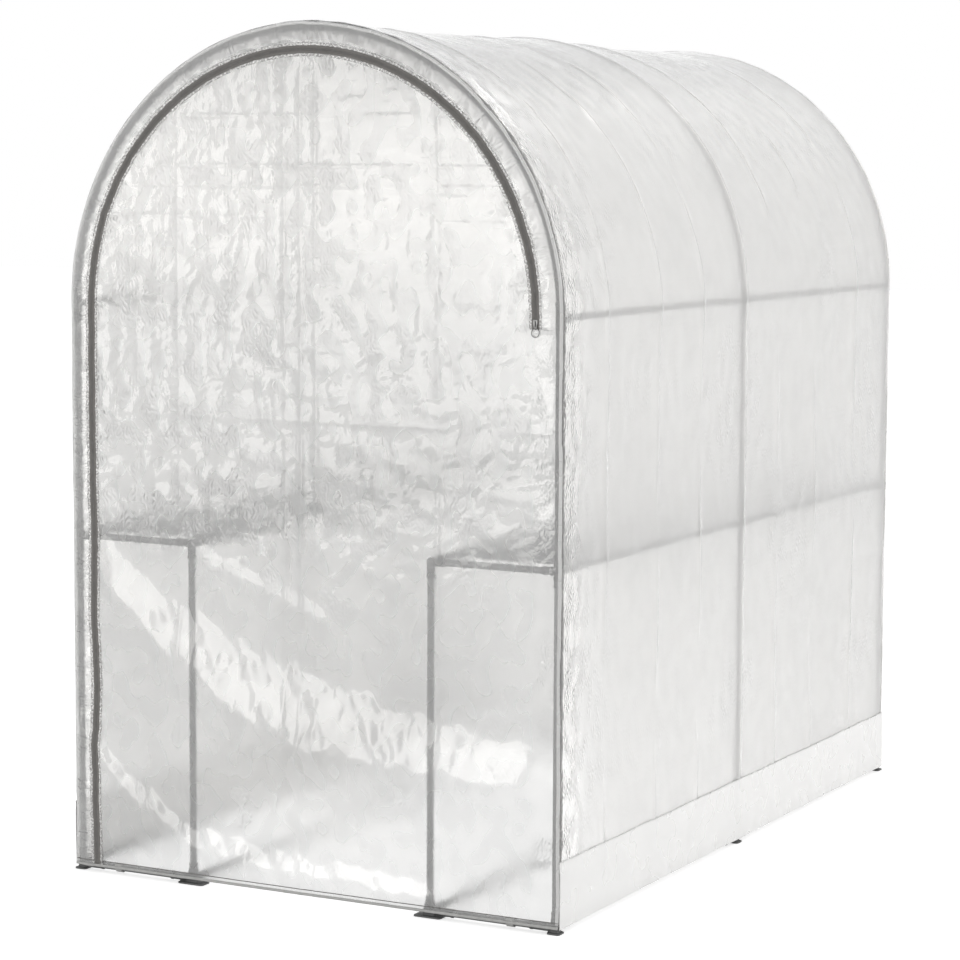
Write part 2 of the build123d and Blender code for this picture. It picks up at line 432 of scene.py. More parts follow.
def beside_zip(x, z):
    """True on the side and at the heights that the zip runs along."""
    return (x < 0) | (z > ZIP_END_Z)


def zip_place(x, z):
    """Length along the zip's line from its lower end, and distance outside that line."""
    angle = np.arctan2(z - SHOULDER_Z, -x)
    past = SHOULDER_Z + math.pi * ZIP_RADIUS + SHOULDER_Z - z
    along = np.where(z > SHOULDER_Z, SHOULDER_Z + ZIP_RADIUS * angle, np.where(x < 0, z, past))
    return along, arch_radius(x, z) - ZIP_RADIUS


def drape(x, z, line, width, height, rough=1.0):
    """Slanting bulge of slack film: steep above its crest and easing off below, with a ragged edge."""
    ragged = 0.36 * value_noise((x + 0.45 * z) / 0.030, (z - 0.3 * x) / 0.11, 27)
    ragged += 0.16 * value_noise(x / 0.17, z / 0.5, 28)
    ragged += 0.16 * value_noise((x - 0.2 * z) / 0.014, z / 0.05, 36)
    part = (z - line) / width + rough * ragged
    top = np.clip((1 - part) / 2, 0, 1)
    foot = np.exp(np.minimum(part + 1, 0) * width / 0.14)
    return height * top * foot


def high_swath(x):
    """Height of the middle of the long swath of slack film that slants across the door."""
    return 0.345 + 0.46 * np.exp(-(x + ZIP_RADIUS) / 0.42)


def low_swath(x):
    """Height of the middle of the narrow swath near the hem."""
    return 0.068 + 0.26 * np.exp(-(x + ZIP_RADIUS) / 0.20)


def front_slack(x, z):
    """The swaths of slack film across the door: a long one, one near the hem and a small one above."""
    width = 0.044 + 0.040 * ridge(x + 0.02, 0.33)
    fade = step_up(x, -0.59, -0.52) * step_up(-x, -0.64, -0.54)
    slack = drape(x, z, high_swath(x), width, SWATH_SLOPE * width, SWATH_RAGGED) * fade
    fade = step_up(-x, -0.50, -0.25) * step_up(z, HEM_Z, HEM_Z + 0.03)
    slack += drape(x, z, low_swath(x), *LOW_SWATH) * fade
    fade = step_up(x, -0.33, -0.27) * step_up(-x, -0.12, 0.0)
    return slack + drape(x, z, 0.80 - 0.34 * (x + 0.30), *SMALL_SWATH) * fade


def front_out(x, z):
    """Waves, folds and puckers of the front film, as heights out of its flat plane."""
    along, outside = zip_place(x, z)
    pucker = ZIP_PUCKER * crumple(along / 0.026, outside / 0.09, 21) * ridge(outside, 0.040)
    gather = BORDER_GATHER * facets((along + 0.5 * outside) / 0.040, outside / 0.10, 22)
    gather *= step_up(outside, 0.006, 0.025)
    upper = step_up(z, 0.62, 0.95)
    high = step_up(z, 1.42, 1.62)
    wave = FRONT_WAVE * value_noise(x / 0.24, z / 0.36, 23) * step_up(z, 0.7, 1.1)
    crease = FRONT_CREASE * facets(x / 0.085, z / 0.100, 24) * (0.22 + 0.78 * upper) * (1 - 0.75 * high)
    crease += TOP_CREASE * facets(x / 0.17, z / 0.055, 37) * high
    crease += FINE_CREASE * facets(x / 0.027, z / 0.030, 34) * (0.10 + 0.90 * upper)
    fold = np.zeros_like(x)
    for place in DOOR_FOLDS:
        broken = 0.3 + 0.7 * step_up(value_noise(z / 0.20, place * 31, 35), -0.6, 0.6)
        fold += UPRIGHT_FOLD * broken * crest(x - place, FOLD_REACH)
    for height in DOOR_LEVELS:
        broken = 0.45 + 0.55 * value_noise(x / 0.22, height * 7, 26)
        fold += LEVEL_FOLD * broken * crest(z - height, FOLD_REACH)
    raised = (pucker + gather) * beside_zip(x, z) + front_slack(x, z) + wave + crease + fold
    return np.maximum(raised * held_at_edge(x, z, 0.022), DEEPEST)


def front_crinkle(x, z):
    """How finely crinkled the front film is: most on the left and above, and beside the zip."""
    patches = step_up(value_noise(x / 0.11, z / 0.14, 29), -0.6, 0.6)
    upper = step_up(z, 0.70, 0.95)
    lower = 0.03 + 0.30 * step_up(value_noise(x / 0.09, z / 0.09, 30), 0.1, 0.7)
    lower *= 1 - 0.6 * ridge(z - high_swath(x), 0.08)
    area = upper * (0.28 + 0.52 * patches) * (1 - 0.40 * step_up(x, -0.05, 0.30)) + (1 - upper) * lower
    sewn_in = 0.5 * ridge(zip_place(x, z)[1], 0.03) * beside_zip(x, z)
    return np.clip(area + sewn_in, 0, 1)


def door_panel():
    """Door film inside the zip, with the strip that it hangs from on the right."""
    step = 0.0075
    edge = ZIP_INNER
    loop = outline(
        step,
        [(-edge, HEM_Z), (COVER_X, HEM_Z), (COVER_X, ZIP_END_Z), (edge, ZIP_END_Z), (edge, SHOULDER_Z)],
        (edge, 0, math.pi),
        [(-edge, SHOULDER_Z), (-edge, HEM_Z)],
    )
    piece, x, z = end_piece("door_panel", loop, step, 31, -1, front_out, DOOR_FOLDS, DOOR_LEVELS)
    # Painted light and shade in the film's colour: lighter toward the top of the door and along the long
    # swath, where the film reflects the front soft box; a little darker low on the left, and lighter in a
    # patch low in the middle.
    haze_and_painted_light = 0.63 - 0.55 * step_up(z, 1.25, 1.65) + 0.04 * ridge(x + 0.48, 0.18) * step_up(-z, -0.7, -0.5)
    haze_and_painted_light -= 0.42 * ridge(x + 0.02, 0.32) * ridge(z - 0.26, 0.13)
    haze_and_painted_light -= 0.22 * ridge(z - high_swath(x), 0.055)
    blur = 0.45 - 0.30 * step_up(x, 0.57, 0.61)
    mark_film(piece, x, z, front_crinkle(x, z), haze_and_painted_light, blur)
    return piece


def front_border():
    """Fixed strip of the front film outside the zip."""
    step = 0.0065
    edge = ZIP_OUTER
    loop = outline(
        step,
        [(COVER_X, ZIP_END_Z), (COVER_X, SHOULDER_Z)],
        (COVER_X, 0, math.pi),
        [(-COVER_X, SHOULDER_Z), (-COVER_X, HEM_Z), (-edge, HEM_Z), (-edge, SHOULDER_Z)],
        (edge, math.pi, 0),
        [(edge, SHOULDER_Z), (edge, ZIP_END_Z), (COVER_X, ZIP_END_Z)],
    )
    piece, x, z = end_piece("front_border", loop, step, 32, -1, front_out)
    along, outside = zip_place(x, z)
    blur = 0.2 + (0.15 + 0.45 * step_up(z, SHOULDER_Z, SHOULDER_Z + 0.2)) * step_up(outside, 0.012, 0.035)
    mark_film(piece, along, outside * 0.4, 0.75, 0.31, blur)
    return piece


def rear_out(x, z):
    """Waves, folds and creases of the plain rear film."""
    wave = REAR_WAVE * value_noise(x / 0.26, z / 0.40, 41)
    crease = REAR_CREASE * facets(x / 0.09, z / 0.11, 42)
    slack = drape(x, z, 0.42 + 0.30 * x * x, 0.06, 0.006)
    fold = np.zeros_like(x)
    for place in DOOR_FOLDS:
        fold += REAR_FOLD * crest(x - place, 0.0040)
    return np.maximum((wave + crease + slack + fold) * held_at_edge(x, z, 0.03), DEEPEST)


def rear_panel():
    """Closed film at the back."""
    step = 0.0125
    loop = outline(
        step,
        [(-COVER_X, HEM_Z), (COVER_X, HEM_Z), (COVER_X, SHOULDER_Z)],
        (COVER_X, 0, math.pi),
        [(-COVER_X, SHOULDER_Z), (-COVER_X, HEM_Z)],
    )
    piece, x, z = end_piece("rear_panel", loop, step, 33, 1, rear_out, DOOR_FOLDS)
    crinkle = 0.25 + 0.35 * step_up(value_noise(x / 0.2, z / 0.3, 43), -0.3, 0.7)
    mark_film(piece, x, z, crinkle, 0.154)
    return piece


def skirt_sheet(side):
    """Second layer of film welded along the foot of a wall."""
    height = np.linspace(HEM_Z, SKIRT_Z, 13)
    y = np.linspace(-END_Y, END_Y, 190)
    z_grid, y_grid = np.meshgrid(height, y)
    free = 1 - step_up(z_grid, SKIRT_Z - 0.03, SKIRT_Z)
    wave = 0.0030 * crumple(y_grid / 0.16, z_grid / 0.20, 51 + side)
    wave += 0.0016 * crumple(y_grid / 0.05, z_grid / 0.10, 53)
    wall = cover_out(side * (ARCH_LENGTH + SHOULDER_Z - z_grid), y_grid)
    x = side * np.maximum(SKIRT_X + wave * free, COVER_X + wall + SKIRT_LIFT)
    points = np.stack([x.ravel(), y_grid.ravel(), z_grid.ravel()], axis=1)
    faces = grid_faces(len(y), len(height))
    name = "right_skirt_sheet" if side > 0 else "left_skirt_sheet"
    return mesh_piece(name, points, faces[:, ::-1] if side > 0 else faces)


# Node graphs

class Graph:
    """Nodes of one tree, made and joined step by step."""

    def __init__(self, tree, prefix="ShaderNode"):
        self.tree = tree
        self.nodes = tree.nodes
        self.prefix = prefix

    def fed(self, node, values):
        """Node with some inputs, by name or number, joined to other nodes or given plain values."""
        for label, value in values.items():
            socket = node.inputs[label.replace("_", " ") if isinstance(label, str) else label]
            if isinstance(value, bpy.types.NodeSocket):
                self.tree.links.new(value, socket)
            else:
                socket.default_value = value
        return node

    def node(self, kind, **values):
        """New node with some of its inputs fed."""
        return self.fed(self.nodes.new(self.prefix + kind), values)

    def paint(self, **values):
        """Feeds the main shader of a material."""
        self.fed(self.nodes["Principled BSDF"], values)

    def math(self, operation, first, second=0):
        """Math on two values, each a socket or a number."""
        node = set_all(self.node("Math"), operation=operation)
        return self.fed(node, {0: first, 1: second}).outputs[0]

    def blend(self, factor, low, high):
        """Colour between two, by a factor."""
        node = set_all(self.node("Mix"), data_type="RGBA")
        return self.fed(node, {"Factor": factor, "A": (*low, 1), "B": (*high, 1)}).outputs["Result"]

    def span(self, value, low, high, to_low, to_high):
        """Value moved from one range to another."""
        ends = {"From Min": low, "From Max": high, "To Min": to_low, "To Max": to_high}
        return self.node("MapRange", Value=value, **ends).outputs["Result"]

    def bump(self, height, distance, strength=1.0):
        """Normal of a surface with small heights on it."""
        return self.node("Bump", Strength=strength, Distance=distance, Height=height).outputs["Normal"]

    def attribute(self, label):
        """Value stored at the points of a sheet."""
        return set_all(self.node("Attribute"), attribute_name=label).outputs["Fac"]

    def film_place(self):
        """Place on the flat film, in metres."""
        return set_all(self.node("UVMap"), uv_map="film").outputs["UV"]

    def film_noise(self, place, across, along, detail):
        """Noise on the flat film with cells of a given width and length."""
        scaled = self.node("Mapping", Vector=place, Scale=(1 / across, 1 / along, 1)).outputs["Vector"]
        noise = set_all(self.node("TexNoise"), noise_dimensions="2D")
        return self.fed(noise, {"Vector": scaled, "Scale": 1, "Detail": detail}).outputs["Fac"]

    def solid_noise(self, scale, detail):
        """Noise that runs through the whole object."""
        place = self.node("TexCoord").outputs["Object"]
        return self.node("TexNoise", Vector=place, Scale=scale, Detail=detail).outputs["Fac"]


# Lines grown into tubes and rows by Geometry Nodes

def new_tree(name, inputs):
    """Graph of Geometry Nodes with named inputs, that starts by turning lines into curves."""
    tree = bpy.data.node_groups.new(name, "GeometryNodeTree")
    for label, kind in (("Lines", "Geometry"), *inputs, ("Finish", "Material")):
        tree.interface.new_socket(label, in_out="INPUT", socket_type=f"NodeSocket{kind}")
    tree.interface.new_socket("Pieces", in_out="OUTPUT", socket_type="NodeSocketGeometry")
    graph = Graph(tree, "GeometryNode")
    given = tree.nodes.new("NodeGroupInput").outputs
    return graph, given, graph.node("MeshToCurve", Mesh=given["Lines"]).outputs["Curve"]


def end_tree(graph, given, shape):
    """Ends a graph: makes what has grown real and gives it the finish."""
    real = graph.node("RealizeInstances", Geometry=shape).outputs["Geometry"]
    finished = graph.node("SetMaterial", Geometry=real, Material=given["Finish"]).outputs["Geometry"]
    graph.fed(graph.nodes.new("NodeGroupOutput"), {"Pieces": finished})
    return graph.tree


def tube_tree():
    """Round bar along each line."""
    graph, given, curve = new_tree("round bars along lines", [("Radius", "Float"), ("Sides", "Int")])
    ring = graph.node("CurvePrimitiveCircle", Resolution=given["Sides"], Radius=given["Radius"])
    sweep = graph.node("CurveToMesh", Curve=curve, Profile_Curve=ring.outputs["Curve"], Fill_Caps=True)
    smooth = graph.node("SetShadeSmooth", Geometry=sweep.outputs["Mesh"])
    return end_tree(graph, given, smooth.outputs["Geometry"])


def row_tree():
    """Small rounded pieces in a row along each line, such as stitches."""
    graph, given, curve = new_tree("rounded pieces in rows", [("Spacing", "Float"), ("Size", "Vector")])
    spots = set_all(graph.node("CurveToPoints"), mode="LENGTH")
    graph.fed(spots, {"Curve": curve, "Length": given["Spacing"]})
    turn = set_all(graph.nodes.new("FunctionNodeAlignRotationToVector"), axis="X")
    graph.fed(turn, {"Vector": spots.outputs["Tangent"]})
    bead = graph.node("MeshUVSphere", Segments=8, Rings=5, Radius=0.5)
    smooth = graph.node("SetShadeSmooth", Geometry=bead.outputs["Mesh"])
    put = graph.node("InstanceOnPoints", Points=spots.outputs["Points"], Instance=smooth.outputs["Geometry"],
                     Rotation=turn.outputs["Rotation"], Scale=given["Size"])
    return end_tree(graph, given, put.outputs["Instances"])


def grow(name, lines, tree, **values):
    """Plain mesh that a tree grows from lines of points."""
    points, edges = [], []
    for line in lines:
        start = len(points)
        points += [tuple(float(c) for c in p) for p in line]
        edges += [(start + i, start + i + 1) for i in range(len(line) - 1)]
    mesh = bpy.data.meshes.new(name)
    mesh.from_pydata(points, edges, [])
    piece = linked(name, mesh)
    modifier = piece.modifiers.new("grow", "NODES")
    modifier.node_group = tree
    for socket in tree.interface.items_tree:
        if socket.in_out == "INPUT" and socket.name in values:
            modifier[socket.identifier] = values[socket.name]
    graph = bpy.context.evaluated_depsgraph_get()
    grown = bpy.data.meshes.new_from_object(piece.evaluated_get(graph))
    piece.modifiers.clear()
    piece.data = grown
    bpy.data.meshes.remove(mesh)
    grown.name = name
    return piece


# Frame

def hoop_line(y):
    """Axis of a hoop, from the right shoulder over the crown to the left one."""
    angles = np.linspace(0, math.pi, 65)
    return [(POST_X * math.cos(a), y, SHOULDER_Z + POST_X * math.sin(a)) for a in angles]


def post_lines(x, top):
    """Axes of the posts of one line."""
    return [[(x, y, BASE_Z), (x, y, top)] for y in HOOPS]


def rail_lines(x, z):
    """Axes of the side rails of both bays."""
    return [[(x, start, z), (x, end, z)] for start, end in zip(HOOPS[:-1], HOOPS[1:])]


def cross_lines(z):
    """Axes of the short tubes between outer and inner posts."""
    return [[(s * POST_X, y, z), (s * INNER_X, y, z)] for y in HOOPS for s in SIDES]


def stub(mesh, start, end, radius, end_radius=None):
    """Adds a round bar to a moulding, maybe tapered, and gives back its points."""
    start, end = Vector(start), Vector(end)
    run = end - start
    turn = run.to_track_quat("Z", "Y").to_matrix().to_4x4()
    place = Matrix.Translation((start + end) / 2) @ turn
    size = {"radius1": radius, "radius2": end_radius or radius, "depth": run.length}
    return bmesh.ops.create_cone(mesh, cap_ends=True, segments=28, matrix=place, **size)["verts"]


def moulding(name, arms, pad=None, arch=False, flare=0.0):
    """Moulded fitting about its hub: a lipped socket on each arm, a rounded hub and maybe a foot."""
    mesh = bmesh.new()
    for direction, reach in arms:
        direction = Vector(direction)
        stub(mesh, (0, 0, 0), direction * reach, SOCKET_RADIUS)
        stub(mesh, direction * (reach - LIP_LENGTH), direction * reach, LIP_RADIUS)
        stub(mesh, direction * COLLAR_START, direction * COLLAR_END, LIP_RADIUS)
    bmesh.ops.create_icosphere(mesh, subdivisions=3, radius=LIP_RADIUS)
    if arch:
        angles = [i * SOCKET_REACH / POST_X / 4 for i in range(5)]
        line = [Vector((POST_X * (math.cos(a) - 1), 0, POST_X * math.sin(a))) for a in angles]
        for start, end in zip(line[:-1], line[1:]):
            stub(mesh, start, end, SOCKET_RADIUS)
        stub(mesh, line[-2].lerp(line[-1], 0.35), line[-1], LIP_RADIUS)
    if pad:
        length, width = pad
        middle_z = -BASE_Z + PAD_CLEARANCE + PAD_THICKNESS / 2
        place = Matrix.Translation((0, 0, middle_z)) @ Matrix.Diagonal((length, width, PAD_THICKNESS, 1))
        corners = set(bmesh.ops.create_cube(mesh, size=1, matrix=place)["verts"])
        sides = [e for e in mesh.edges if set(e.verts) <= corners]
        upright = [e for e in sides if abs(e.verts[0].co.z - e.verts[1].co.z) > PAD_THICKNESS / 2]
        bmesh.ops.bevel(mesh, geom=upright, offset=PAD_CORNER, segments=4, affect="EDGES", profile=0.5)
    if flare:
        for vert in stub(mesh, (0, 0, -BASE_Z + 0.003), (0, 0, FLARE_TOP), flare, SOCKET_RADIUS):
            vert.co.x = min(vert.co.x, flare if pad[0] > WIDE_PAD else SOCKET_RADIUS)
            vert.co.y = max(-SOCKET_RADIUS, min(vert.co.y, SOCKET_RADIUS))
    shape = modelled(name, mesh)
    set_all(shape.modifiers.new("one body", "REMESH"), mode="VOXEL", voxel_size=VOXEL)
    set_all(shape.modifiers.new("soft edges", "SMOOTH"), factor=0.5, iterations=4)
    set_all(shape.modifiers.new("fewer faces", "DECIMATE"), ratio=0.16)
    graph = bpy.context.evaluated_depsgraph_get()
    body = bpy.data.meshes.new_from_object(shape.evaluated_get(graph))
    bpy.data.objects.remove(shape)
    points = np.empty(len(body.vertices) * 3)
    body.vertices.foreach_get("co", points)
    faces = [tuple(p.vertices) for p in body.polygons]
    return points.reshape(-1, 3), faces


def fittings(name, x, z, arms, pad=None, arch=False, flare=0.0):
    """All six fittings of one kind, at the ends and the middle of both sides, as one piece."""
    reach = FOOT_REACH if z == BASE_Z else SOCKET_REACH
    ahead, behind = ((0, 1, 0), reach), ((0, -1, 0), reach)
    end = moulding(name, arms + [ahead], pad, arch, flare)
    mid = moulding(name, arms + [ahead, behind], pad, arch, flare)
    shapes = []
    for y in HOOPS:
        for side in SIDES:
            points, faces = mid if y == 0 else end
            turn = np.array([side, -1 if y > 0 else 1, 1])
            if turn.prod() < 0:
                faces = [face[::-1] for face in faces]
            shapes.append((points * turn + np.array([side * x, y, z]), faces))
    return joined(name, shapes)


def shelf_lines(side, bay):
    """Border and cross wires of one shelf, and the finer wires between them."""
    start, end = bay
    inset = SOCKET_REACH + 0.004 + WIRE_RADIUS
    low_y, high_y = start + inset, end - inset
    near, far = side * (INNER_X - 0.003), side * (POST_X + 0.003)
    z = SHELF_TOP
    border = [[(near, low_y, z), (near, high_y, z)], [(far, low_y, z), (far, high_y, z)]]
    places = np.linspace(low_y, high_y, 17)
    cross = [[(near, y, z), (far, y, z)] for y in places]
    pitch = places[1] - places[0]
    between = [y + pitch * part for y in places[:-1] for part in (0.34, 0.67)]
    fine = [[(near, y, z), (far, y, z)] for y in between]
    return border + cross, fine


# Zip

def over_arch(radius, count):
    """Points over the arch from its left foot to its right one."""
    turns = np.linspace(0, math.pi, count)
    return [(-radius * math.cos(a), SHOULDER_Z + radius * math.sin(a)) for a in turns]


def zip_line(offset=0.0, lift=0.0):
    """Line along the zip at a distance outside its middle, lying on the film or lifted off it."""
    radius = ZIP_RADIUS + offset
    left = [(-radius, z) for z in np.arange(HEM_Z + 0.002, SHOULDER_Z, ZIP_STEP)]
    over = over_arch(radius, 190)
    down = [(radius, z) for z in np.linspace(SHOULDER_Z, ZIP_END_Z, 5)[1:]]
    line = np.array(left + over + down)
    x, z = line[:, 0], line[:, 1]
    wander = 0.0035 * (ridge(z - 0.45, 0.06) - ridge(z - 0.62, 0.06))
    wander += 0.0012 * value_noise(z / 0.09, 0.0, 61)
    x = x + np.where(x < 0, wander * step_up(-z, -1.3, -0.9), 0)
    middle_x = x - np.where(z > SHOULDER_Z, offset * x / radius, np.sign(x) * offset)
    middle_z = z - np.where(z > SHOULDER_Z, offset * (z - SHOULDER_Z) / radius, 0)
    y = FRONT_Y - front_out(middle_x, middle_z) - lift
    return np.stack([x, y, z], axis=1)


def zip_strip(name, rows, offsets, step, thickness, flip=False):
    """Strip that follows the zip, from rows of points at several distances from its middle."""
    count = len(rows[0])
    points = np.stack(rows, axis=1).reshape(-1, 3)
    faces = grid_faces(count, len(offsets))
    piece = mesh_piece(name, points, faces[:, ::-1] if flip else faces)
    along = np.repeat(np.arange(count) * step, len(offsets))
    lay_flat(piece, np.tile(offsets, count), along)
    return thicken(piece, thickness)


def zip_tape():
    """Both halves of the tape, with a groove at the teeth and soft edges."""
    offsets = [-0.0090, -0.0083, -0.0050, -0.0030, 0.0, 0.0030, 0.0050, 0.0083, 0.0090]
    lifts = [0.0004, 0.0012, 0.0013, 0.0016, 0.0010, 0.0016, 0.0013, 0.0012, 0.0004]
    rows = [zip_line(offset, lift) for offset, lift in zip(offsets, lifts)]
    return zip_strip("zip_tape", rows, offsets, ZIP_STEP, TAPE_THICKNESS)


def zip_ruffle(side):
    """Film bunched up along one edge of the tape by the sewing."""
    offsets = [side * o for o in (0.0080, 0.0106, 0.0130, 0.0155)]
    rng = np.random.default_rng(71 + side)
    count = 620
    rows = []
    for i, line in enumerate(zip_line(o, 0.0006) for o in offsets):
        spots = np.linspace(0, len(line) - 1, count)
        row = np.stack([np.interp(spots, np.arange(len(line)), line[:, k]) for k in range(3)], axis=1)
        if i > 0:
            row[:, 1] -= rng.uniform(-0.0004, 0.0030, count) * min(i, 2) / 2
        rows.append(row)
    name = "zip_outer_ruffle" if side > 0 else "zip_inner_ruffle"
    return zip_strip(name, rows, offsets, spots[1] * ZIP_STEP, RUFFLE_THICKNESS, side < 0)


def slider_body():
    """The two plates of the zip slider, the outer one smaller."""
    mesh = bmesh.new()
    y = FRONT_Y - 0.0035
    half = [(0.0062, 0.011), (0.0065, 0.004), (0.0040, -0.011)]
    outline = [(-0.0062, 0.011), *half, (-0.0040, -0.011), (-0.0065, 0.004)]
    for depth, scale in ((0.0, 1.0), (0.0030, 0.88)):
        face = [mesh.verts.new((ZIP_RADIUS + a * scale, y - depth, SLIDER_Z + b * scale)) for a, b in outline]
        made = bmesh.ops.extrude_face_region(mesh, geom=[mesh.faces.new(face)])
        moved = [v for v in made["geom"] if isinstance(v, bmesh.types.BMVert)]
        bmesh.ops.translate(mesh, verts=moved, vec=(0, -0.0016, 0))
    bmesh.ops.recalc_face_normals(mesh, faces=mesh.faces)
    bmesh.ops.bevel(mesh, geom=list(mesh.edges), offset=0.0005, segments=2, affect="EDGES", profile=0.6)
    return modelled("slider_body", mesh)


def slider_lines():
    """Axes of the slider's bridge and pull ring."""
    y = FRONT_Y - 0.0070
    turns = np.linspace(0, math.pi, 13)
    bridge = [(ZIP_RADIUS, y - 0.0026 * math.sin(a), SLIDER_Z - 0.007 * math.cos(a)) for a in turns]
    hang = ZIP_END_Z - 0.0075
    radius = 0.0095
    turns = [(math.sin(a), math.cos(a)) for a in np.linspace(0, 2 * math.pi, 33)]
    ring = [(ZIP_RADIUS + radius * p, y + 0.0012 * q, hang + radius * q) for p, q in turns]
    return [bridge], [ring]


# Ties, hem and seams

def tie_strap(side, end):
    """Strap round a base cross rail and the hem, with its end lapped over."""
    x = side * (POST_X - FOOT_REACH - 0.048)
    radius = TUBE_RADIUS + 0.0012
    angles = np.linspace(-0.5 * math.pi, 1.62 * math.pi, 44)
    grow_out = np.linspace(0, 0.0011, 44)
    turns = list(zip(angles, radius + grow_out))
    ring = [(end * r * math.cos(a), r * math.sin(a)) for a, r in turns]
    tail = [(end * (0.0108 + 0.0004 * i), -0.0095 + 0.0048 * i) for i in range(1, 6)]
    path = ring + tail
    across = np.linspace(-STRAP_HALF, STRAP_HALF, 7)
    rows = [[(x + offset, end * HOOP_Y + a, BASE_Z + b) for a, b in path] for offset in across]
    return np.array(rows).reshape(-1, 3), grid_faces(len(across), len(path))


def ties():
    """The four hem straps as one piece."""
    straps = [tie_strap(side, end) for side in SIDES for end in (-1, 1)]
    return thicken(joined("hem_ties", straps), STRAP_THICKNESS)


def seam_line(y):
    """Line along the cover's edge at one end, from hem to hem over the arch."""
    reach = COVER_X - SEAM_INSET
    up = [(-reach, z) for z in np.arange(HEM_Z, SHOULDER_Z, 0.015)]
    over = over_arch(reach, 140)
    down = [(reach, z) for z in np.arange(SHOULDER_Z, HEM_Z, -0.015)[1:]]
    line = np.array(up + over + down)
    spots = np.arange(len(line))
    shake = 0.0007 * value_noise(spots / 2.1, 0.0, 81)
    shake += 0.0009 * value_noise(spots / 6.3, 0.0, 82)
    scale = 1 + shake / COVER_X
    x = line[:, 0] * scale
    z = np.where(line[:, 1] > SHOULDER_Z, SHOULDER_Z + (line[:, 1] - SHOULDER_Z) * scale, line[:, 1])
    return np.stack([x, np.full(len(x), y), z], axis=1)


def weld_line(side):
    """Line along the top edge of a skirt, on the wall."""
    y = np.linspace(-END_Y, END_Y, 180)
    out = cover_out(np.full_like(y, side * (ARCH_LENGTH + SHOULDER_Z - SKIRT_Z)), y)
    x = side * np.maximum(SKIRT_X, COVER_X + out + SKIRT_LIFT)
    return np.stack([x, y, np.full_like(y, SKIRT_Z)], axis=1)


def hem_lines(height, lift):
    """Lines round the hem of the cover at a height: front, back, left and right."""
    z = HEM_Z + height
    x = np.linspace(-COVER_X, COVER_X, 110)
    level = np.full_like(x, z)
    front = np.stack([x, FRONT_Y - front_out(x, level) - lift, level], axis=1)
    back = np.stack([x, REAR_Y + rear_out(x, level) + lift, level], axis=1)
    side_x = SKIRT_X + lift
    left, right = ([(side * side_x, y, z) for y in np.linspace(-END_Y, END_Y, 90)] for side in SIDES)
    return [front, back, left, right]


# Finishes

def new_finish(name, **values):
    """New material with some plain values, and its graph."""
    material = bpy.data.materials.new(name)
    material.use_nodes = True
    graph = Graph(material.node_tree)
    graph.paint(**values)
    return material, graph


def clear_film():
    """Thin hazy clear film: blurs what lies far behind it, with sharp gloss on its crinkles."""
    plain = {"IOR": 1.42, "Transmission_Weight": 0.89, "Coat_Weight": 1.0, "Coat_Roughness": 0.035}
    material, graph = new_finish("clear_film", **plain)
    place = graph.film_place()
    fine = graph.film_noise(place, 0.0095, 0.0150, 0)
    mid = graph.film_noise(place, 0.040, 0.055, 0)
    creases = graph.math("ABSOLUTE", graph.math("SUBTRACT", fine, 0.5))
    clumped = graph.math("MULTIPLY", creases, graph.span(mid, 0.38, 0.62, 0.5, 3.2))
    crinkled = graph.math("MULTIPLY", graph.math("ADD", clumped, mid), graph.attribute("crinkle"))
    height = graph.math("ADD", crinkled, graph.math("MULTIPLY", mid, 0.3))
    normal = graph.bump(height, 0.0012)
    # The stored haze greys the film's colour; besides the film's own milkiness it holds painted light and
    # shade, set per sheet.
    haze_and_painted_light = graph.math("ADD", graph.attribute("haze_and_painted_light"), graph.span(mid, 0.3, 0.7, -0.037, 0.037))
    colour = graph.blend(haze_and_painted_light, (0.972, 0.967, 0.956), (0.660, 0.663, 0.664))
    blur = graph.math("MULTIPLY", graph.attribute("blur"), 0.34)
    rough = graph.math("ADD", blur, graph.span(mid, 0.3, 0.7, 0.09, 0.15))
    graph.paint(Base_Color=colour, Roughness=rough, Normal=normal, Coat_Normal=normal)
    return material


def doubled_film():
    """Whiter film of two layers, for the skirts and the seams."""
    plain = {"IOR": 1.45, "Transmission_Weight": 0.35, "Coat_Weight": 0.6, "Coat_Roughness": 0.1}
    material, graph = new_finish("doubled_film", **plain)
    cloud = graph.solid_noise(14, 1)
    colour = graph.blend(cloud, (0.955, 0.955, 0.95), (0.99, 0.99, 0.985))
    rough = graph.span(cloud, 0.3, 0.7, 0.22, 0.36)
    graph.paint(Base_Color=colour, Roughness=rough, Normal=graph.bump(cloud, 0.0012, 0.5))
    return material


def sewn_film():
    """Film bunched along the sewing of the zip, darker, with painted shade and glints of its puckers as dark
    and light specks.
    """
    plain = {"Transmission_Weight": 0.60, "Coat_Weight": 0.8, "Coat_Roughness": 0.06}
    material, graph = new_finish("sewn_film", **plain)
    specks = graph.film_noise(graph.film_place(), 0.004, 0.006, 2)
    # Painted shade and glints of the puckers: dark and light specks on the bunched film.
    shade = graph.span(specks, 0.35, 0.65, 0, 1)
    colour = graph.blend(shade, (0.58, 0.575, 0.57), (0.94, 0.935, 0.92))
    graph.paint(Base_Color=colour, Roughness=graph.span(specks, 0.3, 0.7, 0.15, 0.35))
    return material


def grain_group():
    """Fine speckle and broad fading, shared by the tubes, fittings, wires and metal."""
    tree = bpy.data.node_groups.new("speckle and fading", "ShaderNodeTree")
    for label, way in (("Speckle Scale", "IN"), ("Fading Scale", "IN"), ("Shade", "OUT"), ("Height", "OUT")):
        tree.interface.new_socket(label, in_out=f"{way}PUT", socket_type="NodeSocketFloat")
    graph = Graph(tree)
    given = tree.nodes.new("NodeGroupInput").outputs
    speckle = graph.solid_noise(given["Speckle Scale"], 2)
    fading = graph.solid_noise(given["Fading Scale"], 3)
    shade = graph.math("ADD", graph.math("MULTIPLY", speckle, 0.35), graph.math("MULTIPLY", fading, 0.65))
    graph.fed(tree.nodes.new("NodeGroupOutput"), {"Shade": shade, "Height": speckle})
    return tree


